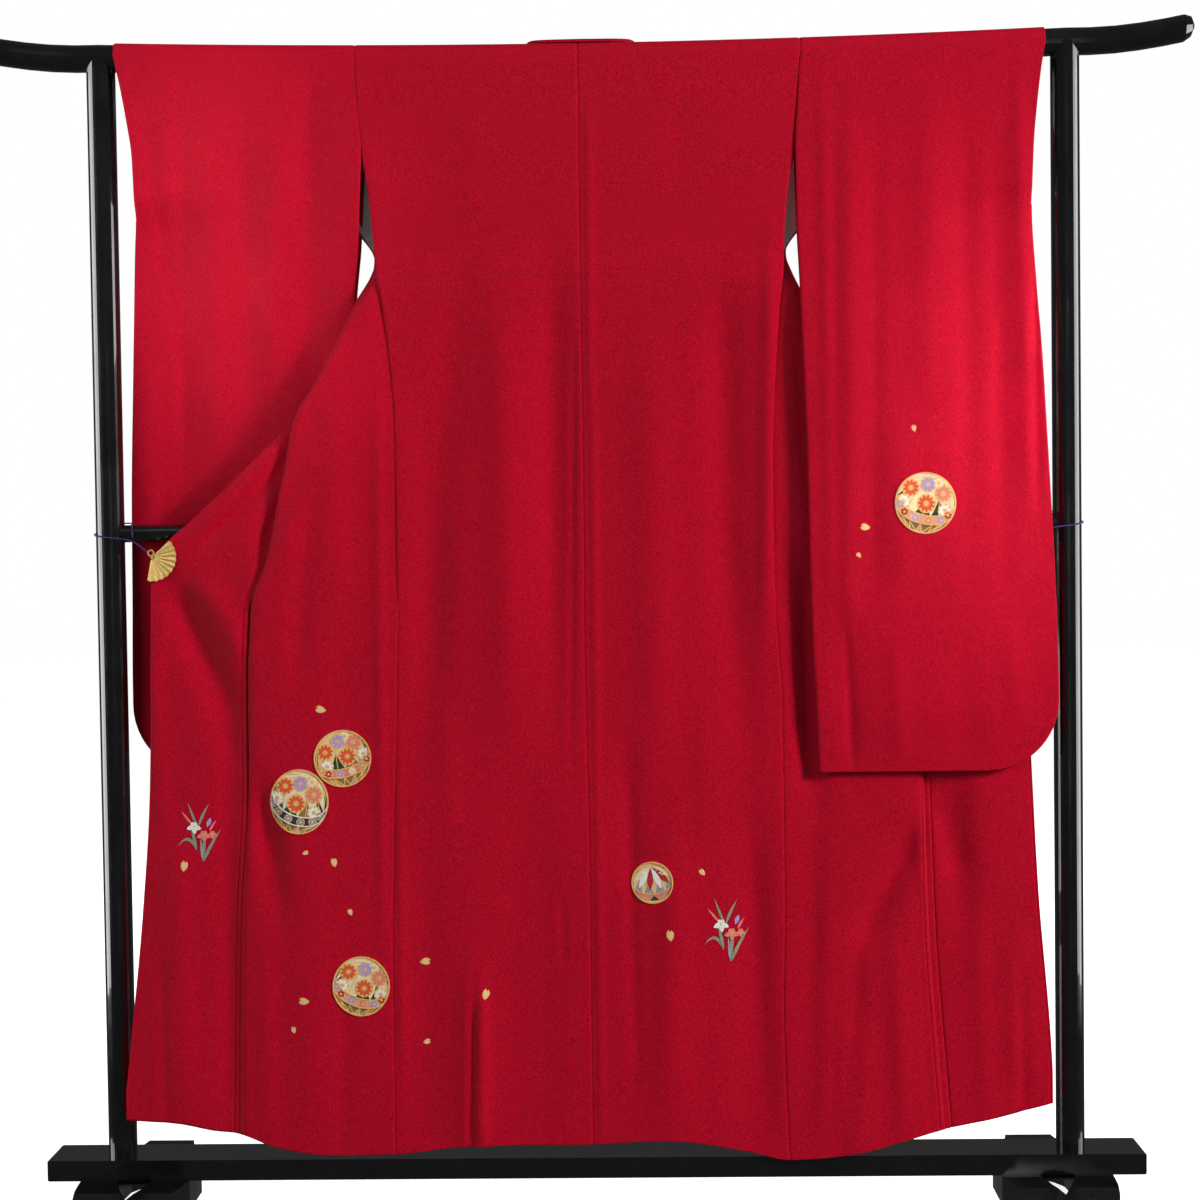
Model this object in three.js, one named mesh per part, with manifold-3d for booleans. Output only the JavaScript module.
// A furisode kimono shown from the back on a lacquered kimono stand.
// Millimetres. X runs along the bars, Y runs away from the shown side, Z is up.
// The origin lies on the floor, midway between the two posts.
// Each cloth piece is a wall of even thickness through horizontal sections of the hanging garment.
import * as THREE from 'three';
import { mergeVertices } from 'three/addons/utils/BufferGeometryUtils.js';
import Module from 'manifold-3d';

const wasm = await Module();
wasm.setup();

// ---------------------------------------------------------------- driving dimensions
const SEAM_GAP = 0.3;

const FOOT = { centreX: 667, height: 65, arch: 24, padFrom: 160, length: 450 };
const BEAM = { length: 1590, depth: 78, height: 30, edge: 3 };
const BEAM_TOP = FOOT.height + BEAM.height;
const POST = { x: 693, radius: 20.5, sides: 32 };
const TOP_BAR = { z: 1690, radius: 19.5, sag: 12, straightTo: 729, tipX: 877, tipLift: 19 };
const MID_BAR = { z: 1004, radius: 12.5, seat: 10 };

const CLOTH = 2.0;
const CLOTH_OVER_BAR = TOP_BAR.radius + 0.5 + CLOTH / 2;
// Where a sleeve is in two halves on top of the bar, each ends this far from the fold.
const SHOULDER_REACH = 0.4;
const COLLAR_THICKNESS = 2.6;
const OVER_COLLAR_THICKNESS = 1.2;
const LINING_THICKNESS = 1.0;
const NECK_HALF_WIDTH = 91;
const SLEEVE_BOTTOM = 652;
const SLEEVE_CORNER = 100;
const CUFF_BELOW_SHOULDER = 230;

const FAN = { radius: 35.6, inner: 4.5, ribs: 10, pleat: 0.9, thickness: 1.6, from: 42, to: -102 };
const RING = { radius: 4.2, wire: 1.0, aside: 1.6, above: 5.7 };
const JAW = { length: 26, half: 7, thickness: 1.6, tilt: 30, pin: 2.6 };
const CORD = { radius: 1.1, sides: 6, steps: 40 };

// ---------------------------------------------------------------- colours and finishes
const finish = (color, roughness, metalness = 0) => (
  new THREE.MeshStandardMaterial({ color, roughness, metalness, side: THREE.DoubleSide })
);
const CREPE = { color: 0xa5122a, roughness: 0.75 };
const LINING = { color: 0xb9b4b4, roughness: 0.7 };
const LACQUER = { color: 0x0b0c0f, roughness: 0.12 };
const GILT = { color: 0xc9962f, roughness: 0.32, metalness: 0.85 };
const PURPLE = { color: 0x4b2a86, roughness: 0.6 };

// ---------------------------------------------------------------- tables of the hanging garment
// Side seam and armhole edge of the back, from shoulder to hem.
const BACK_SIDE_LEFT = [
  { z: 1695, x: -324, y: -21 },
  { z: 1617, x: -320, y: -22 },
  { z: 1544, x: -314, y: -23 },
  { z: 1486, x: -306, y: -24 },
  { z: 1420, x: -300, y: -24 },
  { z: 1373, x: -296, y: -24 },
  { z: 1321, x: -287, y: -26 },
  { z: 1248, x: -279, y: -27 },
  { z: 1149, x: -272, y: -29 },
  { z: 900, x: -272, y: -32 },
  { z: 757, x: -275, y: -34 },
  { z: 537, x: -282, y: -38 },
  { z: 389, x: -286, y: -41 },
  { z: 100, x: -286, y: -46 },
];
const BACK_SIDE_RIGHT = [
  { z: 1695, x: 314, y: -21 },
  { z: 1609, x: 309, y: -22 },
  { z: 1538, x: 304, y: -23 },
  { z: 1496, x: 296, y: -24 },
  { z: 1432, x: 289, y: -24 },
  { z: 1373, x: 287, y: -24 },
  { z: 1311, x: 280, y: -25 },
  { z: 1083, x: 268, y: -29 },
  { z: 897, x: 270, y: -32 },
  { z: 754, x: 278, y: -34 },
  { z: 467, x: 279, y: -40 },
  { z: 323, x: 276, y: -43 },
  { z: 90, x: 282, y: -47 },
];
const CENTRE_SEAM = [
  { z: 1695, x: -4, y: -21 },
  { z: 1372, x: -4, y: -25 },
  { z: 1115, x: -3, y: -28 },
  { z: 843, x: -4, y: -33 },
  { z: 512, x: -1, y: -40 },
  { z: 100, x: -1, y: -46 },
];

// Fronts, from the shoulder behind the bar, through the turn at the armpit, to the hem.
// side = side seam, half = midway, turn = the shown edge, edge = the sewn edge turned behind it.
const ARMPIT_Z = 1373;
const FRONT_LEFT = [
  { z: 1668, sideX: -323, sideY: 21, halfX: -245, halfY: 21, turnX: -150, turnY: 21, edgeX: -98, edgeY: 21 },
  { z: 1600, sideX: -319, sideY: 22, halfX: -258, halfY: 25, turnX: -190, turnY: 24, edgeX: -144, edgeY: 22 },
  { z: 1540, sideX: -314, sideY: 22, halfX: -273, halfY: 26, turnX: -222, turnY: 24, edgeX: -184, edgeY: 21 },
  { z: 1448, sideX: -321, sideY: 18, halfX: -303, halfY: 24, turnX: -272, turnY: 25, edgeX: -245, edgeY: 20 },
  { z: 1400, sideX: -301, sideY: 0, halfX: -301, halfY: 12, turnX: -294, turnY: 19, edgeX: -279, edgeY: 16 },
  { z: 1373, sideX: -296, sideY: -24, halfX: -301, halfY: -14, turnX: -304, turnY: 0, edgeX: -297, edgeY: 8 },
  { z: 1330, sideX: -289, sideY: -26, halfX: -311, halfY: -28, turnX: -327, turnY: -21, edgeX: -320, edgeY: -6 },
  { z: 1217, sideX: -276, sideY: -28, halfX: -337, halfY: -32, turnX: -385, turnY: -27, edgeX: -377, edgeY: -16 },
  { z: 1167, sideX: -273, sideY: -29, halfX: -345, halfY: -34, turnX: -415, turnY: -30, edgeX: -406, edgeY: -19 },
  { z: 1061, sideX: -272, sideY: -30, halfX: -356, halfY: -36, turnX: -438, turnY: -34, edgeX: -431, edgeY: -22 },
  { z: 964, sideX: -272, sideY: -31, halfX: -366, halfY: -37, turnX: -457, turnY: -36, edgeX: -450, edgeY: -24 },
  { z: 883, sideX: -273, sideY: -33, halfX: -378, halfY: -38, turnX: -483, turnY: -37, edgeX: -476, edgeY: -25 },
  { z: 759, sideX: -275, sideY: -34, halfX: -381, halfY: -39, turnX: -488, turnY: -37, edgeX: -485, edgeY: -27 },
  { z: 631, sideX: -279, sideY: -37, halfX: -385, halfY: -40, turnX: -489, turnY: -38, edgeX: -490, edgeY: -30 },
  { z: 427, sideX: -285, sideY: -40, halfX: -394, halfY: -42, turnX: -500, turnY: -40, edgeX: -504, edgeY: -36 },
  { z: 100, sideX: -286, sideY: -46, halfX: -396, halfY: -47, turnX: -508, turnY: -44, edgeX: -512, edgeY: -42 },
];
const FRONT_RIGHT = [
  { z: 1668, sideX: 313, sideY: 21, halfX: 238, halfY: 21, turnX: 146, turnY: 21, edgeX: 98, edgeY: 21 },
  { z: 1600, sideX: 308, sideY: 22, halfX: 250, halfY: 25, turnX: 186, turnY: 24, edgeX: 142, edgeY: 22 },
  { z: 1540, sideX: 304, sideY: 22, halfX: 265, halfY: 26, turnX: 218, turnY: 24, edgeX: 180, edgeY: 21 },
  { z: 1448, sideX: 299, sideY: 18, halfX: 288, halfY: 24, turnX: 262, turnY: 25, edgeX: 238, edgeY: 20 },
  { z: 1400, sideX: 290, sideY: 0, halfX: 292, halfY: 12, turnX: 286, turnY: 19, edgeX: 270, edgeY: 16 },
  { z: 1373, sideX: 287, sideY: -24, halfX: 293, halfY: -14, turnX: 297, turnY: 0, edgeX: 289, edgeY: 8 },
  { z: 1330, sideX: 282, sideY: -25, halfX: 301, halfY: -26, turnX: 316, turnY: -19, edgeX: 309, edgeY: -6 },
  { z: 1217, sideX: 274, sideY: -27, halfX: 326, halfY: -29, turnX: 372, turnY: -25, edgeX: 364, edgeY: -16 },
  { z: 1167, sideX: 271, sideY: -28, halfX: 334, halfY: -30, turnX: 402, turnY: -28, edgeX: 393, edgeY: -19 },
  { z: 1061, sideX: 268, sideY: -29, halfX: 345, halfY: -32, turnX: 425, turnY: -30, edgeX: 418, edgeY: -22 },
  { z: 964, sideX: 269, sideY: -31, halfX: 355, halfY: -32, turnX: 442, turnY: -30, edgeX: 435, edgeY: -21 },
  { z: 883, sideX: 271, sideY: -32, halfX: 365, halfY: -33, turnX: 458, turnY: -31, edgeX: 452, edgeY: -23 },
  { z: 759, sideX: 278, sideY: -34, halfX: 374, halfY: -35, turnX: 472, turnY: -32, edgeX: 469, edgeY: -26 },
  { z: 631, sideX: 278, sideY: -37, halfX: 378, halfY: -37, turnX: 477, turnY: -34, edgeX: 479, edgeY: -29 },
  { z: 427, sideX: 279, sideY: -41, halfX: 381, halfY: -42, turnX: 480, turnY: -38, edgeX: 484, edgeY: -35 },
  { z: 100, sideX: 282, sideY: -47, halfX: 392, halfY: -47, turnX: 500, turnY: -44, edgeX: 505, edgeY: -42 },
];

// Overlaps (okumi): inner = sewn to the front, half = midway, outer = the free edge.
const OKUMI_LEFT = [
  { z: 1160, halfX: -413, halfY: -18, outerX: -420, outerY: -18 },
  { z: 1130, halfX: -438, halfY: -21, outerX: -453, outerY: -24 },
  { z: 1072, halfX: -476, halfY: -26, outerX: -512, outerY: -25 },
  { z: 1015, halfX: -513, halfY: -26, outerX: -570, outerY: -25 },
  { z: 965, halfX: -538, halfY: -27, outerX: -619, outerY: -26 },
  { z: 930, halfX: -546, halfY: -27, outerX: -629, outerY: -26 },
  { z: 759, halfX: -556, halfY: -33, outerX: -631, outerY: -28 },
  { z: 613, halfX: -560, halfY: -34, outerX: -635, outerY: -30 },
  { z: 427, halfX: -575, halfY: -35, outerX: -648, outerY: -32 },
  { z: 214, halfX: -590, halfY: -38, outerX: -670, outerY: -34 },
  { z: 140, halfX: -594, halfY: -40, outerX: -678, outerY: -35 },
];
const OKUMI_RIGHT = [
  { z: 1160, halfX: 400, halfY: -18, outerX: 407, outerY: -18 },
  { z: 1130, halfX: 426, halfY: -21, outerX: 443, outerY: -22 },
  { z: 1072, halfX: 466, halfY: -24, outerX: 503, outerY: -22 },
  { z: 1015, halfX: 503, halfY: -24, outerX: 562, outerY: -22 },
  { z: 965, halfX: 530, halfY: -24, outerX: 612, outerY: -22 },
  { z: 930, halfX: 538, halfY: -25, outerX: 622, outerY: -23 },
  { z: 759, halfX: 549, halfY: -29, outerX: 630, outerY: -26 },
  { z: 613, halfX: 556, halfY: -33, outerX: 635, outerY: -29 },
  { z: 427, halfX: 563, halfY: -35, outerX: 643, outerY: -32 },
  { z: 214, halfX: 580, halfY: -38, outerX: 658, outerY: -35 },
  { z: 150, halfX: 584, halfY: -39, outerX: 661, outerY: -36 },
];

// Height of the hem above the floor.
const HEM = [
  { x: -678, z: 153 },
  { x: -602, z: 149 },
  { x: -546, z: 138 },
  { x: -512, z: 134 },
  { x: -453, z: 114 },
  { x: -372, z: 103 },
  { x: -286, z: 104 },
  { x: -170, z: 115 },
  { x: -20, z: 116 },
  { x: 107, z: 121 },
  { x: 217, z: 105 },
  { x: 282, z: 92 },
  { x: 328, z: 94 },
  { x: 390, z: 103 },
  { x: 501, z: 133 },
  { x: 576, z: 148 },
  { x: 662, z: 169 },
];

// Sleeves: inner = armhole seam and open edge beside the body, outer = cuff and sewn edge,
// near = layer towards the shown side, far = layer behind it.
const SLEEVE_LEFT = [
  { z: 1695, innerX: -324, outerX: -670, near: -21, far: 21 },
  { z: 1600, innerX: -319, outerX: -653, near: -21, far: 23 },
  { z: 1544, innerX: -315, outerX: -646, near: -19, far: 24 },
  { z: 1480, innerX: -318, outerX: -645, near: -15, far: 25 },
  { z: 1415, innerX: -322, outerX: -649, near: -7, far: 26 },
  { z: 1337, innerX: -330, outerX: -653, near: 1, far: 27 },
  { z: 1230, innerX: -335, outerX: -658, near: 9, far: 29 },
  { z: 1050, innerX: -338, outerX: -665, near: 16, far: 31 },
  { z: 907, innerX: -340, outerX: -667, near: 17, far: 31 },
  { z: 776, innerX: -341, outerX: -669, near: 18, far: 29 },
  { z: 652, innerX: -342, outerX: -669, near: 19, far: 25 },
];
const SLEEVE_RIGHT = [
  { z: 1695, innerX: 314, outerX: 662, near: -21, far: 21 },
  { z: 1609, innerX: 309, outerX: 650, near: -24, far: 14 },
  { z: 1538, innerX: 305, outerX: 643, near: -27, far: 3 },
  { z: 1440, innerX: 306, outerX: 639, near: -32, far: -12 },
  { z: 1350, innerX: 309, outerX: 643, near: -38, far: -27 },
  { z: 1255, innerX: 312, outerX: 649, near: -44, far: -33 },
  { z: 1105, innerX: 317, outerX: 657, near: -46, far: -34 },
  { z: 960, innerX: 319, outerX: 664, near: -49, far: -36 },
  { z: 826, innerX: 322, outerX: 668, near: -52, far: -40 },
  { z: 751, innerX: 326, outerX: 669, near: -52, far: -42 },
  { z: 652, innerX: 330, outerX: 669, near: -50, far: -44 },
];

// Largest folds of each piece: a soft ridge (towards the shown side) or trough along a line.
// The opened front and its overlap share theirs, which run on over the seam.
const FOLDS = {
  back_left: [
    { fromX: -42, fromZ: 1390, toX: -45, toZ: 880, width: 30, depth: -5 },
    { fromX: -125, fromZ: 1400, toX: -120, toZ: 700, width: 34, depth: 3 },
    { fromX: -230, fromZ: 1220, toX: -225, toZ: 780, width: 28, depth: -4 },
    { fromX: -168, fromZ: 380, toX: -170, toZ: 90, width: 22, depth: 7 },
    { fromX: -90, fromZ: 620, toX: -85, toZ: 100, width: 34, depth: -5 },
    { fromX: -235, fromZ: 560, toX: -240, toZ: 100, width: 30, depth: -4 },
  ],
  back_right: [
    { fromX: 203, fromZ: 1350, toX: 200, toZ: 820, width: 30, depth: -5 },
    { fromX: 100, fromZ: 1300, toX: 105, toZ: 700, width: 36, depth: 3 },
    { fromX: 53, fromZ: 690, toX: 57, toZ: 490, width: 24, depth: -4 },
    { fromX: 130, fromZ: 560, toX: 110, toZ: 90, width: 36, depth: 5 },
    { fromX: 230, fromZ: 620, toX: 225, toZ: 90, width: 28, depth: -5 },
  ],
  opened_left: [
    { fromX: -590, fromZ: 900, toX: -500, toZ: 660, width: 20, depth: -5 },
    { fromX: -493, fromZ: 640, toX: -452, toZ: 520, width: 24, depth: -5 },
    { fromX: -600, fromZ: 560, toX: -620, toZ: 160, width: 26, depth: 4 },
    { fromX: -340, fromZ: 1150, toX: -345, toZ: 640, width: 34, depth: -4 },
    { fromX: -400, fromZ: 700, toX: -410, toZ: 110, width: 34, depth: 4 },
  ],
  opened_right: [
    { fromX: 470, fromZ: 560, toX: 389, toZ: 410, width: 28, depth: -5 },
    { fromX: 374, fromZ: 300, toX: 380, toZ: 90, width: 26, depth: 4 },
    { fromX: 320, fromZ: 900, toX: 325, toZ: 200, width: 26, depth: -3 },
    { fromX: 528, fromZ: 640, toX: 532, toZ: 420, width: 22, depth: -5 },
    { fromX: 610, fromZ: 420, toX: 612, toZ: 200, width: 24, depth: 4 },
  ],
  sleeve_left: [
    { fromX: -430, fromZ: 1600, toX: -420, toZ: 1060, width: 38, depth: 3 },
    { fromX: -560, fromZ: 1620, toX: -575, toZ: 900, width: 42, depth: -3 },
  ],
  sleeve_right: [
    { fromX: 400, fromZ: 1560, toX: 405, toZ: 1000, width: 40, depth: 3 },
    { fromX: 365, fromZ: 880, toX: 376, toZ: 660, width: 18, depth: -4 },
    { fromX: 560, fromZ: 1500, toX: 575, toZ: 960, width: 44, depth: -3 },
  ],
};

// Collar round the neck, from the middle of the back to the fall of each front. seam = sewn edge,
// fold = its middle line, free = its loose edge, which lies over the bar. x counts away from the middle.
const COLLAR_NECK = [
  { at: 0.00, seamX: 0, seamY: -2, seamZ: 1703, foldX: 0, foldY: 17, foldZ: 1702, freeX: 0, freeY: 27, freeZ: 1650 },
  { at: 0.06, seamX: 45, seamY: -1, seamZ: 1703, foldX: 43, foldY: 18, foldZ: 1699, freeX: 38, freeY: 27, freeZ: 1649 },
  { at: 0.10, seamX: 72, seamY: 8, seamZ: 1704, foldX: 64, foldY: 23, foldZ: 1694, freeX: 52, freeY: 28, freeZ: 1645 },
  { at: 0.13, seamX: 82, seamY: 20, seamZ: 1700, foldX: 69, foldY: 26, foldZ: 1679, freeX: 50, freeY: 28, freeZ: 1638 },
  { at: 0.155, seamX: 82, seamY: 24, seamZ: 1678, foldX: 68, foldY: 27, foldZ: 1664, freeX: 47, freeY: 27, freeZ: 1638 },
];
// Its fall along each front: the height and depth of the sewn edge at each place along the band.
const COLLAR_FALL = [
  { at: 0.19, z: 1655, y: 24 },
  { at: 0.28, z: 1600, y: 23 },
  { at: 0.38, z: 1530, y: 22 },
  { at: 0.48, z: 1448, y: 21 },
  { at: 0.57, z: 1373, y: 11 },
  { at: 0.63, z: 1330, y: -3 },
  { at: 0.75, z: 1217, y: -12 },
  { at: 0.81, z: 1160, y: -14 },
  { at: 0.90, z: 1068, y: -15 },
  { at: 1.00, z: 968, y: -17 },
];
const COLLAR_WIDTH = 57;
const COLLAR_LEAN = 34;
const COLLAR_INSET = 2.8;
const OVER_COLLAR_TO = 0.5;
// The left sleeve hangs open behind the front, in two halves that meet on top of the bar.
const SLEEVE_LENGTHS = {
  left: [
    { name: 'sleeve_left', from: 0, to: 0.5 },
    { name: 'sleeve_far_left', from: 0.5, to: 1 },
  ],
  right: [{ name: 'sleeve_right', from: 0, to: 1 }],
};
// The band is one strip of cloth, in lengths that are each nearly flat, by share of each half.
const COLLAR_LENGTHS = [
  { name: 'collar_left_lower', from: -1, to: -0.59 },
  { name: 'collar_left_upper', from: -0.59, to: -0.18 },
  { name: 'collar', from: -0.18, to: 0.18 },
  { name: 'collar_right_upper', from: 0.18, to: 0.59 },
  { name: 'collar_right_lower', from: 0.59, to: 1 },
];
const OKUMI_TOP = 1160;

// ---------------------------------------------------------------- small tools
const smooth = (value, from, to) => THREE.MathUtils.smoothstep(value, from, to);
const mix = THREE.MathUtils.lerp;
const barHeight = (x) => TOP_BAR.z - TOP_BAR.sag * Math.max(0, 1 - (x / POST.x) ** 2);

// A smooth line through one column of a table, without overshoot between its rows.
function column(table, name, by = 'z') {
  const rows = [...table].sort((a, b) => a[by] - b[by]);
  const at = rows.map((row) => row[by]);
  const value = rows.map((row) => row[name]);
  const rise = at.slice(1).map((place, i) => (value[i + 1] - value[i]) / (place - at[i]));
  const slope = value.map((_, i) => {
    const before = rise[Math.max(0, i - 1)];
    const after = rise[Math.min(rise.length - 1, i)];
    return before * after <= 0 ? 0 : (2 * before * after) / (before + after);
  });
  return (place) => {
    const p = THREE.MathUtils.clamp(place, at[0], at.at(-1));
    const i = Math.max(0, at.findIndex((limit, k) => k > 0 && p <= limit) - 1);
    const span = at[i + 1] - at[i];
    const t = (p - at[i]) / span;
    const hermite = (3 - 2 * t) * t * t;
    const lead = t * (1 - t) * (1 - t) * slope[i];
    const trail = t * t * (t - 1) * slope[i + 1];
    return value[i] * (1 - hermite) + value[i + 1] * hermite + span * (lead + trail);
  };
}
const columns = (table, names, by = 'z') => (
  Object.fromEntries(names.map((name) => [name, column(table, name, by)]))
);
const hemHeight = column(HEM, 'z', 'x');

// How far the folds of one piece push its cloth towards the shown side.
function foldPush(folds, x, z) {
  let push = 0;
  for (const fold of folds) {
    const run = new THREE.Vector2(fold.toX - fold.fromX, fold.toZ - fold.fromZ);
    const here = new THREE.Vector2(x - fold.fromX, z - fold.fromZ);
    const along = here.dot(run) / run.lengthSq();
    const aside = Math.abs(here.cross(run)) / run.length();
    const ends = smooth(along, -0.15, 0.25) * (1 - smooth(along, 0.75, 1.15));
    push += fold.depth * ends * Math.exp(-((aside / fold.width) ** 2));
  }
  return push;
}

// Points spread evenly along a smooth line through a few control points.
function spread(points, count) {
  const line = new THREE.CatmullRomCurve3(points, false, 'centripetal');
  line.arcLengthDivisions = 60;
  return line.getSpacedPoints(count - 1);
}

// A closed wall of one thickness on a grid of middle points.
function clothWall(grid, thickness) {
  const rows = grid.length;
  const cols = grid[0].length;
  const point = (i, j) => grid[THREE.MathUtils.clamp(i, 0, rows - 1)][THREE.MathUtils.clamp(j, 0, cols - 1)];
  const positions = [];
  for (const side of [0.5, -0.5]) {
    for (let i = 0; i < rows; i += 1) {
      for (let j = 0; j < cols; j += 1) {
        const across = point(i, j + 1).clone().sub(point(i, j - 1));
        const down = point(i + 1, j).clone().sub(point(i - 1, j));
        const out = across.cross(down).normalize().multiplyScalar(side * thickness);
        positions.push(...out.add(point(i, j)).toArray());
      }
    }
  }
  const id = (side, i, j) => side * rows * cols + i * cols + j;
  const index = [];
  const quad = (a, b, c, d) => index.push(a, b, c, a, c, d);
  for (let i = 0; i < rows - 1; i += 1) {
    for (let j = 0; j < cols - 1; j += 1) {
      quad(id(0, i, j), id(0, i, j + 1), id(0, i + 1, j + 1), id(0, i + 1, j));
      quad(id(1, i, j), id(1, i + 1, j), id(1, i + 1, j + 1), id(1, i, j + 1));
    }
  }
  const border = [];
  for (let j = 0; j < cols - 1; j += 1) border.push([0, j]);
  for (let i = 0; i < rows - 1; i += 1) border.push([i, cols - 1]);
  for (let j = cols - 1; j > 0; j -= 1) border.push([rows - 1, j]);
  for (let i = rows - 1; i > 0; i -= 1) border.push([i, 0]);
  border.forEach((from, k) => {
    const to = border[(k + 1) % border.length];
    quad(id(0, ...to), id(0, ...from), id(1, ...from), id(1, ...to));
  });
  const geometry = new THREE.BufferGeometry();
  geometry.setAttribute('position', new THREE.Float32BufferAttribute(positions, 3));
  geometry.setIndex(index);
  geometry.computeVertexNormals();
  return geometry;
}

// A grid moved out along its own normals, for what lies on a panel.
function movedOut(grid, distance) {
  return grid.map((row, i) => row.map((point, j) => {
    const left = row[Math.max(0, j - 1)];
    const right = row[Math.min(row.length - 1, j + 1)];
    const above = grid[Math.max(0, i - 1)][j];
    const below = grid[Math.min(grid.length - 1, i + 1)][j];
    const out = right.clone().sub(left).cross(below.clone().sub(above)).normalize();
    return point.clone().addScaledVector(out, distance);
  }));
}

// Rows of heights between two levels, closer together towards the first where asked.
function levels(from, to, count, ease = 1) {
  return Array.from({ length: count }, (_, i) => mix(from, to, (i / (count - 1)) ** ease));
}

// ---------------------------------------------------------------- cloth pieces
const BACK_COLUMNS = 9;
const BACK_UPPER_ROWS = 7;
const LOWER_ROWS = 21;
const BAR_WRAP_STEPS = 4;

// One row of cloth over the bar, at an angle from its shown side (0) over the top (90) and down.
function overBar(fromX, toX, count, degrees, radius = CLOTH_OVER_BAR) {
  const angle = THREE.MathUtils.degToRad(degrees);
  return Array.from({ length: count }, (_, j) => {
    const x = mix(fromX, toX, j / (count - 1));
    return new THREE.Vector3(x, -radius * Math.cos(angle), barHeight(x) + radius * Math.sin(angle));
  });
}

// Shared steps from the armpit (0) to the hem (1), so that sewn edges run side by side.
const lowerDrops = () => levels(0, 1, LOWER_ROWS, 1.15);

// Half of the back, from the top of the bar to the hem.
function backGrid(sideTable, folds, sign) {
  const side = columns(sideTable, ['x', 'y']);
  const centre = columns(CENTRE_SEAM, ['x', 'y']);
  const shoulder = sideTable[0];
  const centreTop = CENTRE_SEAM[0].x + (sign * SEAM_GAP) / 2;
  const grid = [];
  for (let k = BAR_WRAP_STEPS; k > 0; k -= 1) {
    const lift = (90 * k) / BAR_WRAP_STEPS - (k === BAR_WRAP_STEPS ? 1 : 0);
    grid.push(overBar(shoulder.x, centreTop, BACK_COLUMNS, lift));
  }
  const section = (level, heightAt, hang) => Array.from({ length: BACK_COLUMNS }, (_, j) => {
    const s = j / (BACK_COLUMNS - 1);
    const x = mix(side.x(level), centre.x(level) + (sign * SEAM_GAP) / 2, s);
    const z = heightAt(x);
    const y = mix(side.y(level), centre.y(level), s) - foldPush(folds, x, z) * hang;
    return new THREE.Vector3(x, y, z);
  });
  grid.push(overBar(shoulder.x, centreTop, BACK_COLUMNS, 0));
  for (const level of levels(TOP_BAR.z - 40, ARMPIT_Z + 40, BACK_UPPER_ROWS)) {
    grid.push(section(level, () => level, 1 - smooth(level, 1560, 1640)));
  }
  for (const drop of lowerDrops()) {
    grid.push(section(mix(ARMPIT_Z, 100, drop), (x) => mix(ARMPIT_Z, hemHeight(x), drop), 1));
  }
  return grid;
}

const FRONT_UPPER = [1655, 1620, 1575, 1520, 1465, 1430, 1405, 1388];
// Places across a front's section: even to the turn, then close round it.
const FRONT_ACROSS = [0, 0.11, 0.22, 0.33, 0.44, 0.54, 0.63, 0.71, 0.8, 0.9, 1];
const FRONT_COLUMNS = FRONT_ACROSS.length;

// One horizontal section of a front, from its side seam to its sewn edge.
function frontSection(table) {
  const parts = ['side', 'half', 'turn', 'edge'];
  const c = columns(table, parts.flatMap((part) => [`${part}X`, `${part}Y`]));
  return (z) => parts.map((part) => new THREE.Vector3(c[`${part}X`](z), c[`${part}Y`](z), z));
}

function acrossFront(points) {
  const line = new THREE.CatmullRomCurve3(points, false, 'centripetal');
  return FRONT_ACROSS.map((place) => line.getPoint(place));
}

// A front, from the top of the bar down behind it, turned at the armpit, and down to the hem.
function frontGrid(table, sideTable, folds, sign) {
  const section = frontSection(table);
  const side = columns(sideTable, ['x', 'y']);
  const shoulderX = sideTable[0].x;
  const neckX = sign * NECK_HALF_WIDTH;
  const grid = [];
  for (let k = 0; k <= BAR_WRAP_STEPS; k += 1) {
    const lift = 90 + (90 * k) / BAR_WRAP_STEPS + (k === 0 ? 1 : 0);
    grid.push(overBar(shoulderX, neckX, FRONT_COLUMNS, lift));
  }
  for (const z of FRONT_UPPER) {
    grid.push(acrossFront(section(z)));
  }
  for (const drop of lowerDrops()) {
    const level = mix(ARMPIT_Z, 100, drop);
    const ends = section(level);
    ends[0].x = side.x(level) + sign * (SEAM_GAP + (CLOTH / 2) * smooth(level, 1200, 1330));
    ends[0].y = side.y(level);
    grid.push(acrossFront(ends).map((point) => {
      const hem = hemHeight(point.x);
      const z = mix(ARMPIT_Z, hem, drop);
      const push = foldPush(folds, point.x, z) * smooth(drop, 0, 0.1);
      return new THREE.Vector3(point.x, point.y - push, z);
    }));
  }
  return grid;
}

const OKUMI_COLUMNS = 6;
const OKUMI_ROWS = 19;

// An overlap panel, from its point at the top of the front's fold to the hem.
function okumiGrid(table, frontTable, folds, sign) {
  const own = columns(table, ['halfX', 'halfY', 'outerX', 'outerY']);
  const front = columns(frontTable, ['turnX', 'turnY', 'edgeX', 'edgeY']);
  const top = table[0].z;
  return levels(0, 1, OKUMI_ROWS).map((drop) => {
    const level = mix(top, 100, drop);
    const end = new THREE.Vector3(front.edgeX(level), front.edgeY(level), level);
    const turn = new THREE.Vector3(front.turnX(level), front.turnY(level), level);
    const onward = end.clone().sub(turn).normalize();
    const tucked = CLOTH * mix(0.6, 1.35, smooth(level, 300, 560));
    const inner = end.addScaledVector(onward, SEAM_GAP * 1.5 + tucked);
    const half = new THREE.Vector3(own.halfX(level), own.halfY(level), level);
    const outer = new THREE.Vector3(own.outerX(level), own.outerY(level), level);
    return spread([inner, half, outer], OKUMI_COLUMNS).map((point) => {
      const z = mix(top, hemHeight(point.x), drop);
      return new THREE.Vector3(point.x, point.y - foldPush(folds, point.x, z), z);
    });
  });
}

const SLEEVE_COLUMNS = 8;
const SLEEVE_LEVELS = [660, 680, 705, 740, 800, 880, 960, 1040, 1120, 1200, 1280, 1350, 1410, 1470, 1530, 1590, 1640];

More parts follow.
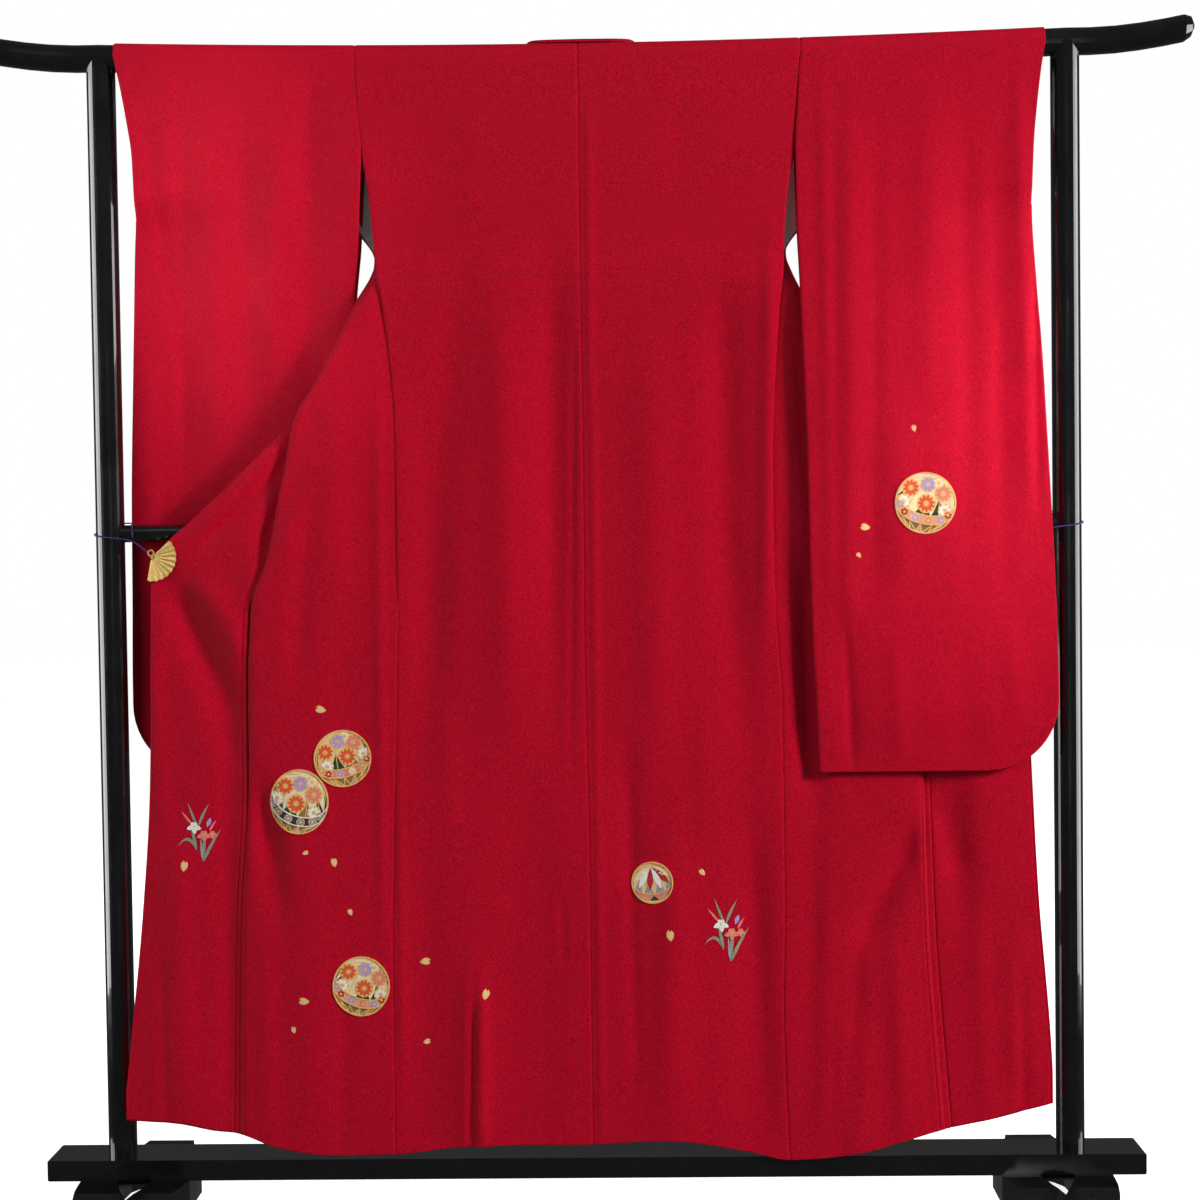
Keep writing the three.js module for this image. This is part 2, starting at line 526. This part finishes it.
// A sleeve: one strip up its near layer, over the bar and down its far layer.
function sleeveGrid(table, folds, sign) {
  const c = columns(table, ['innerX', 'outerX', 'near', 'far']);
  const closed = (CLOTH + SEAM_GAP) / 2;
  const cuffFrom = TOP_BAR.z - CUFF_BELOW_SHOULDER;
  const outerEdge = (z) => {
    const rise = Math.max(0, SLEEVE_BOTTOM + SLEEVE_CORNER - z);
    return c.outerX(z) - sign * (SLEEVE_CORNER - Math.sqrt(SLEEVE_CORNER ** 2 - rise ** 2));
  };
  const layer = (z, side) => Array.from({ length: SLEEVE_COLUMNS }, (_, j) => {
    const s = j / (SLEEVE_COLUMNS - 1);
    const x = mix(c.innerX(z) + sign * SEAM_GAP, outerEdge(z), s);
    const middle = (c.near(z) + c.far(z)) / 2;
    const sewnEdge = smooth(s, 0.5, 1) * (1 - smooth(z, cuffFrom - 20, cuffFrom + 30));
    const sewnBottom = 1 - smooth(z, SLEEVE_BOTTOM + 6, SLEEVE_BOTTOM + 90);
    const shut = Math.max(sewnEdge, sewnBottom);
    const open = side < 0 ? c.near(z) : c.far(z);
    const y = mix(open, middle + side * closed, shut);
    return new THREE.Vector3(x, y - foldPush(folds, x, z), z);
  });
  const shoulder = table[0];
  const grid = [SLEEVE_BOTTOM, ...SLEEVE_LEVELS].map((z) => layer(z, -1));
  for (let k = 0; k <= 2 * BAR_WRAP_STEPS; k += 1) {
    const lift = (90 * k) / BAR_WRAP_STEPS;
    grid.push(overBar(shoulder.innerX + sign * SEAM_GAP, shoulder.outerX, SLEEVE_COLUMNS, lift));
  }
  grid.push(...[SLEEVE_BOTTOM, ...SLEEVE_LEVELS].reverse().map((z) => layer(z, 1)));
  return grid;
}

const COLLAR_STEPS = 45;
const COLLAR_COLUMNS = 5;
const COLLAR_PARTS = ['seamX', 'seamY', 'seamZ', 'foldX', 'foldY', 'foldZ', 'freeX', 'freeY', 'freeZ'];

// Control lines of one half of the collar: the neck's own rows, then rows sewn to that front.
function collarHalf(frontTable, okumiTable, sign) {
  const frontEdge = column(frontTable, 'edgeX');
  const okumiEdge = column(okumiTable, 'outerX');
  const lean = THREE.MathUtils.degToRad(COLLAR_LEAN);
  const neck = COLLAR_NECK.map((row) => (
    { ...row, seamX: sign * row.seamX, foldX: sign * row.foldX, freeX: sign * row.freeX }
  ));
  const fall = COLLAR_FALL.map(({ at, z, y }) => {
    const x = (z >= OKUMI_TOP ? frontEdge(z) : okumiEdge(z)) - sign * COLLAR_INSET;
    const reach = (part) => part * COLLAR_WIDTH;
    const place = (name, part, rise) => ({
      [`${name}X`]: x - sign * reach(part) * Math.cos(lean),
      [`${name}Y`]: y + rise,
      [`${name}Z`]: z - reach(part) * Math.sin(lean),
    });
    return { at, ...place('seam', 0, 0), ...place('fold', 0.5, 1.2), ...place('free', 1, 0.6) };
  });
  return columns([...neck, ...fall], COLLAR_PARTS, 'at');
}

// The collar band: up one front, round the neck and down the other.
function collarGrid() {
  const half = { left: collarHalf(FRONT_LEFT, OKUMI_LEFT, -1), right: collarHalf(FRONT_RIGHT, OKUMI_RIGHT, 1) };
  return levels(-1, 1, COLLAR_STEPS).map((place) => {
    const c = place < 0 ? half.left : half.right;
    const at = Math.abs(place);
    const point = (part) => new THREE.Vector3(c[`${part}X`](at), c[`${part}Y`](at), c[`${part}Z`](at));
    return spread([point('seam'), point('fold'), point('free')], COLLAR_COLUMNS);
  });
}

// One length of a strip between two of its rows, drawn back a little where the strip goes on.
function lengthOf(strip, first, last, reach = SEAM_GAP / 2) {
  const rows = strip.slice(first, last + 1).map((row) => row.map((point) => point.clone()));
  const drawBack = (row, next) => row.forEach((point, j) => {
    const inward = next[j].clone().sub(point);
    point.add(inward.setLength(reach));
  });
  if (first > 0) drawBack(rows[0], rows[1]);
  if (last < strip.length - 1) drawBack(rows.at(-1), rows.at(-2));
  return rows;
}

// The strip of white lining on the inside of a front, beside the armhole.
function liningGrid(front) {
  const first = BAR_WRAP_STEPS + 1;
  const rows = front.slice(first, first + FRONT_UPPER.length - 2);
  const inset = rows.map((row) => row.map((point, j) => {
    const next = row[Math.min(row.length - 1, j + 1)];
    return j === 0 ? point.clone().lerp(next, 0.15) : point.clone();
  }));
  return inset.map((row) => row.slice(0, FRONT_COLUMNS - 2));
}

// ---------------------------------------------------------------- stand pieces
// A closed surface through rings of equal length, capped at both ends.
function ringBody(rings) {
  const sides = rings[0].length;
  const centre = (ring) => ring.reduce((sum, p) => sum.add(p), new THREE.Vector3()).divideScalar(sides);
  const positions = rings.flat().concat(centre(rings[0]), centre(rings.at(-1)));
  const index = [];
  for (let i = 0; i < rings.length - 1; i += 1) {
    for (let j = 0; j < sides; j += 1) {
      const k = (j + 1) % sides;
      const a = i * sides;
      const b = a + sides;
      index.push(a + j, a + k, b + k, a + j, b + k, b + j);
    }
  }
  const last = (rings.length - 1) * sides;
  for (let j = 0; j < sides; j += 1) {
    const k = (j + 1) % sides;
    index.push(rings.length * sides, k, j);
    index.push(rings.length * sides + 1, last + j, last + k);
  }
  const geometry = new THREE.BufferGeometry();
  geometry.setAttribute('position', new THREE.Float32BufferAttribute(positions.flatMap((p) => p.toArray()), 3));
  geometry.setIndex(index);
  geometry.computeVertexNormals();
  return geometry;
}

// The top bar: round, a little bowed down by the garment, with lifted and rounded tips.
function topBar() {
  const sides = 20;
  const halfPlaces = [0, 140, 280, 420, 560, 693, 729, 765, 800, 835, 862, 872, 877];
  const places = [...halfPlaces.slice(1).reverse().map((x) => -x), ...halfPlaces];
  const rings = places.map((x) => {
    const away = Math.max(0, Math.abs(x) - TOP_BAR.straightTo);
    const lift = TOP_BAR.tipLift * (away / (TOP_BAR.tipX - TOP_BAR.straightTo)) ** 1.7;
    const toTip = TOP_BAR.tipX - Math.abs(x);
    const round = toTip < 15 ? Math.sqrt(Math.max(0.04, 1 - (1 - toTip / 15) ** 2)) : 1;
    const radius = TOP_BAR.radius * round;
    return Array.from({ length: sides }, (_, j) => {
      const angle = (2 * Math.PI * j) / sides;
      const z = barHeight(x) + lift + radius * Math.sin(angle);
      return new THREE.Vector3(x, radius * Math.cos(angle), z);
    });
  });
  return ringBody(rings);
}

function alongX(radius, length, sides) {
  const geometry = new THREE.CylinderGeometry(radius, radius, length, sides);
  geometry.rotateZ(Math.PI / 2);
  return geometry;
}

function toSolid(geometry) {
  const bare = geometry.clone();
  bare.deleteAttribute('normal');
  bare.deleteAttribute('uv');
  const merged = mergeVertices(bare, 1e-4);
  const vertProperties = new Float32Array(merged.attributes.position.array);
  const triVerts = new Uint32Array(merged.index.array);
  return new wasm.Manifold(new wasm.Mesh({ numProp: 3, vertProperties, triVerts }));
}

function fromSolid(solid) {
  const mesh = solid.getMesh();
  const geometry = new THREE.BufferGeometry();
  geometry.setAttribute('position', new THREE.BufferAttribute(mesh.vertProperties, 3));
  geometry.setIndex(new THREE.BufferAttribute(mesh.triVerts, 1));
  geometry.computeVertexNormals();
  return geometry;
}

// A post, coped over its top to fit under the bar and bored for the middle bar.
function post(x) {
  const barZ = barHeight(x);
  const height = barZ - BEAM_TOP;
  const shaft = new THREE.CylinderGeometry(POST.radius, POST.radius, height, POST.sides);
  shaft.rotateX(Math.PI / 2);
  shaft.translate(x, 0, BEAM_TOP + height / 2);
  const saddle = alongX(TOP_BAR.radius + SEAM_GAP, POST.radius * 4, 48);
  saddle.translate(x, 0, barHeight(Math.abs(x) - POST.radius));
  const bore = alongX(MID_BAR.radius + SEAM_GAP, POST.radius * 2, 32);
  const faceX = x - Math.sign(x) * POST.radius;
  bore.translate(faceX + Math.sign(x) * (MID_BAR.seat - POST.radius), 0, MID_BAR.z);
  return fromSolid(toSolid(shaft).subtract(toSolid(saddle)).subtract(toSolid(bore)));
}

function midBar() {
  const reach = POST.x - POST.radius + MID_BAR.seat - 1;
  const geometry = alongX(MID_BAR.radius, 2 * reach, 24);
  geometry.translate(0, 0, MID_BAR.z);
  return geometry;
}

function beam() {
  const half = BEAM.depth / 2 - BEAM.edge;
  const outline = new THREE.Shape();
  outline.moveTo(-half, BEAM.edge);
  outline.lineTo(half, BEAM.edge);
  outline.lineTo(half, BEAM.height - BEAM.edge);
  outline.lineTo(-half, BEAM.height - BEAM.edge);
  outline.closePath();
  const geometry = new THREE.ExtrudeGeometry(outline, {
    depth: BEAM.length - 2 * BEAM.edge,
    bevelSize: BEAM.edge,
    bevelThickness: BEAM.edge,
    bevelSegments: 2,
    steps: 1,
  });
  geometry.rotateX(Math.PI / 2);
  geometry.rotateZ(Math.PI / 2);
  geometry.translate(-BEAM.length / 2 + BEAM.edge, 0, FOOT.height);
  return geometry;
}

// A foot seen from above: wide under the beam, narrow at both toes, with a pointed slot.
const FOOT_PLAN = [
  { y: 0, outer: 78, inner: 81, slot: 27 },
  { y: 40, outer: 79, inner: 80, slot: 25 },
  { y: 70, outer: 79, inner: 68, slot: 14 },
  { y: 95, outer: 76, inner: 58, slot: 0 },
  { y: 140, outer: 64, inner: 45, slot: 0 },
  { y: 190, outer: 46, inner: 36, slot: 0 },
  { y: 214, outer: 36, inner: 30, slot: 0 },
  { y: 225, outer: 16, inner: 14, slot: 0 },
];
// The same foot seen from its side.
const FOOT_SIDE = [
  { y: 0, top: 65 },
  { y: 46, top: 65 },
  { y: 80, top: 60 },
  { y: 120, top: 48 },
  { y: 155, top: 43 },
  { y: 185, top: 46 },
  { y: 208, top: 50 },
  { y: 220, top: 44 },
  { y: 225, top: 32 },
];

function foot(sign) {
  const plan = new THREE.Shape();
  const front = [...FOOT_PLAN].reverse();
  const ring = [
    ...front.map((row) => [row.outer, -row.y]),
    ...FOOT_PLAN.slice(1).map((row) => [row.outer, row.y]),
    ...front.map((row) => [-row.inner, row.y]),
    ...FOOT_PLAN.slice(1).map((row) => [-row.inner, -row.y]),
  ];
  plan.setFromPoints(ring.map(([x, y]) => new THREE.Vector2(sign * x, y)));
  const slotRows = FOOT_PLAN.filter((row, i) => row.slot > 0 || FOOT_PLAN[i - 1]?.slot > 0);
  const slotFront = [...slotRows].reverse();
  const slotRing = [
    ...slotFront.map((row) => [row.slot, -row.y]),
    ...slotRows.slice(1).map((row) => [row.slot, row.y]),
    ...slotFront.slice(1).map((row) => [-row.slot, row.y]),
    ...slotRows.slice(1, -1).map((row) => [-row.slot, -row.y]),
  ];
  const slot = new THREE.Path().setFromPoints(slotRing.map(([x, y]) => new THREE.Vector2(x, y)));
  plan.holes.push(slot);
  const upright = new THREE.ExtrudeGeometry(plan, { depth: FOOT.height + 20, bevelEnabled: false });
  upright.translate(0, 0, -10);

  const side = new THREE.Shape();
  side.moveTo(-FOOT.padFrom, 0);
  side.lineTo(-FOOT.length / 2 + 6, 0);
  side.lineTo(-FOOT.length / 2, 8);
  [...FOOT_SIDE].reverse().forEach((row) => side.lineTo(-row.y, row.top));
  FOOT_SIDE.slice(1).forEach((row) => side.lineTo(row.y, row.top));
  side.lineTo(FOOT.length / 2, 8);
  side.lineTo(FOOT.length / 2 - 6, 0);
  side.lineTo(FOOT.padFrom, 0);
  side.quadraticCurveTo(0, 2 * FOOT.arch, -FOOT.padFrom, 0);
  const across = new THREE.ExtrudeGeometry(side, { depth: 240, bevelEnabled: false, curveSegments: 10 });
  across.rotateX(Math.PI / 2);
  across.rotateZ(Math.PI / 2);
  across.translate(-120, 0, 0);
  const geometry = fromSolid(toSolid(upright).intersect(toSolid(across)));
  geometry.translate(sign * FOOT.centreX, 0, 0);
  return geometry;
}

// ---------------------------------------------------------------- clips and their cords
// y is the middle of the fan in front of the cloth, jawY the back face of the jaw behind it.
const CLIP_LEFT = { x: -626, y: -29.4, z: 970, jawY: -12.4 };
const CLIP_RIGHT = { x: 620, y: -26.6, z: 972, jawY: -12.4 };

// The open folding fan of a clip, with pleated leaf and scalloped rim, in front of the cloth.
function fan(clip, sign) {
  const folds = FAN.ribs * 2;
  const rims = [FAN.inner, FAN.radius * 0.45, FAN.radius * 0.75, FAN.radius];
  const grid = rims.map((radius, i) => levels(FAN.from, FAN.to, folds + 1).map((degrees, j) => {
    const angle = THREE.MathUtils.degToRad(degrees);
    const crest = j % 2 === 0 ? 1 : -1;
    const rim = i === rims.length - 1 ? radius - (j % 2 === 0 ? 1.4 : 0) : radius;
    const x = clip.x - sign * rim * Math.cos(angle);
    const y = clip.y + (crest * FAN.pleat * (i + 1)) / rims.length;
    return new THREE.Vector3(x, y, clip.z + rim * Math.sin(angle));
  }));
  return clothWall(grid, FAN.thickness);
}

// The hanging ring at the pivot of the fan.
function clipRing(clip, sign) {
  const ring = new THREE.TorusGeometry(RING.radius, RING.wire, 6, 14);
  ring.rotateX(Math.PI / 2);
  ring.translate(clip.x + sign * RING.aside, clip.y, clip.z + RING.above);
  return ring;
}

// The gripping jaw behind the cloth, and the pin that runs from it past the cloth's edge to the pivot.
function clipJaw(clip, sign) {
  const inwards = -sign;
  const outline = new THREE.Shape();
  outline.moveTo(0, -JAW.half);
  outline.lineTo(inwards * JAW.length, -JAW.half + 2);
  outline.quadraticCurveTo(inwards * (JAW.length + 5), 0, inwards * JAW.length, JAW.half - 2);
  outline.lineTo(0, JAW.half);
  outline.quadraticCurveTo(-inwards * (JAW.half - 1), 0, 0, -JAW.half);
  const jaw = new THREE.ExtrudeGeometry(outline, { depth: JAW.thickness, bevelEnabled: false, curveSegments: 6 });
  jaw.rotateX(Math.PI / 2);
  jaw.rotateY(THREE.MathUtils.degToRad(inwards * JAW.tilt));
  jaw.translate(clip.x, clip.jawY, clip.z);
  const pinFrom = clip.y + RING.wire + SEAM_GAP;
  const pinTo = clip.jawY - JAW.thickness / 2;
  const pin = new THREE.CylinderGeometry(JAW.pin, JAW.pin, pinTo - pinFrom, 12);
  pin.translate(clip.x, (pinFrom + pinTo) / 2, clip.z);
  return fromSolid(toSolid(jaw).add(toSolid(pin)));
}

// The cord: from the ring to the post, round the post and back over the middle bar.
function cord(clip, sign) {
  const postX = sign * POST.x;
  const round = POST.radius + CORD.radius + 0.9;
  const above = MID_BAR.z + MID_BAR.radius + CORD.radius + 0.6;
  const route = [
    new THREE.Vector3(clip.x + sign * (RING.aside + 4.4), clip.y + 2.4, clip.z + RING.above + 0.8),
    new THREE.Vector3(clip.x + sign * 17, -26.5, 985),
    new THREE.Vector3(sign * 655, -25, 993),
    new THREE.Vector3(postX - sign * 18, -round - 2, 997),
    new THREE.Vector3(postX, -round, 999),
    new THREE.Vector3(postX + sign * round * 0.71, -round * 0.71, 1001),
    new THREE.Vector3(postX + sign * round, 0, 1004),
    new THREE.Vector3(postX + sign * round * 0.71, round * 0.71, 1009),
    new THREE.Vector3(postX, round, 1014),
    new THREE.Vector3(postX - sign * round * 0.74, round * 0.74, above + 1),
    new THREE.Vector3(postX - sign * 30, 6, above + 0.8),
    new THREE.Vector3(postX - sign * 33, -5, above),
    new THREE.Vector3(postX - sign * 36, -17, 1012),
    new THREE.Vector3(sign * 655, -23, 998.5),
  ];
  const outline = new THREE.Shape(levels(0, 2 * Math.PI, CORD.sides + 1).slice(1).map((angle) => (
    new THREE.Vector2(CORD.radius * Math.cos(angle), CORD.radius * Math.sin(angle))
  )));
  return new THREE.ExtrudeGeometry(outline, {
    steps: CORD.steps,
    bevelEnabled: false,
    extrudePath: new THREE.CatmullRomCurve3(route, false, 'centripetal'),
  });
}

// ---------------------------------------------------------------- assembly
const kimono = new THREE.Group();
function add(name, geometry, look) {
  const material = finish(look.color, look.roughness, look.metalness);
  const mesh = new THREE.Mesh(geometry, material);
  mesh.name = name;
  kimono.add(mesh);
}

const SIDES = [
  { side: 'left', sign: -1, back: BACK_SIDE_LEFT, front: FRONT_LEFT, okumi: OKUMI_LEFT, sleeve: SLEEVE_LEFT },
  { side: 'right', sign: 1, back: BACK_SIDE_RIGHT, front: FRONT_RIGHT, okumi: OKUMI_RIGHT, sleeve: SLEEVE_RIGHT },
];
for (const { side, sign, back, front, okumi, sleeve } of SIDES) {
  const backPanel = backGrid(back, FOLDS[`back_${side}`], sign);
  const frontPanel = frontGrid(front, back, FOLDS[`opened_${side}`], sign);
  const okumiPanel = okumiGrid(okumi, front, FOLDS[`opened_${side}`], sign);
  const liningOffset = sign * (CLOTH / 2 + SEAM_GAP + LINING_THICKNESS / 2);
  add(`back_${side}`, clothWall(backPanel, CLOTH), CREPE);
  add(`front_${side}`, clothWall(frontPanel, CLOTH), CREPE);
  add(`okumi_${side}`, clothWall(okumiPanel, CLOTH), CREPE);
  const sleevePanel = sleeveGrid(sleeve, FOLDS[`sleeve_${side}`], sign);
  const sleeveEnd = sleevePanel.length - 1;
  for (const { name, from, to } of SLEEVE_LENGTHS[side]) {
    const length = lengthOf(sleevePanel, from * sleeveEnd, to * sleeveEnd, SHOULDER_REACH);
    add(name, clothWall(length, CLOTH), CREPE);
  }
  add(`lining_${side}`, clothWall(movedOut(liningGrid(frontPanel), liningOffset), LINING_THICKNESS), LINING);
  add(`post_${side}`, post(sign * POST.x), LACQUER);
  add(`foot_${side}`, foot(sign), LACQUER);
  const clip = sign < 0 ? CLIP_LEFT : CLIP_RIGHT;
  add(`fan_clip_${side}`, fan(clip, sign), GILT);
  add(`clip_ring_${side}`, clipRing(clip, sign), GILT);
  add(`clip_jaw_${side}`, clipJaw(clip, sign), GILT);
  add(`tie_cord_${side}`, cord(clip, sign), PURPLE);
}

const overOffset = COLLAR_THICKNESS / 2 + SEAM_GAP + OVER_COLLAR_THICKNESS / 2;
const collar = collarGrid();
const collarMiddle = (COLLAR_STEPS - 1) / 2;
const collarRow = (at) => collarMiddle + Math.round(collarMiddle * at);
for (const { name, from, to } of COLLAR_LENGTHS) {
  add(name, clothWall(lengthOf(collar, collarRow(from), collarRow(to)), COLLAR_THICKNESS), CREPE);
}
const overCollar = movedOut(collar, -overOffset)
  .slice(collarRow(-OVER_COLLAR_TO), collarRow(OVER_COLLAR_TO) + 1);
add('over_collar', clothWall(overCollar, OVER_COLLAR_THICKNESS), CREPE);
add('top_bar', topBar(), LACQUER);
add('mid_bar', midBar(), LACQUER);
add('beam', beam(), LACQUER);

export default kimono;
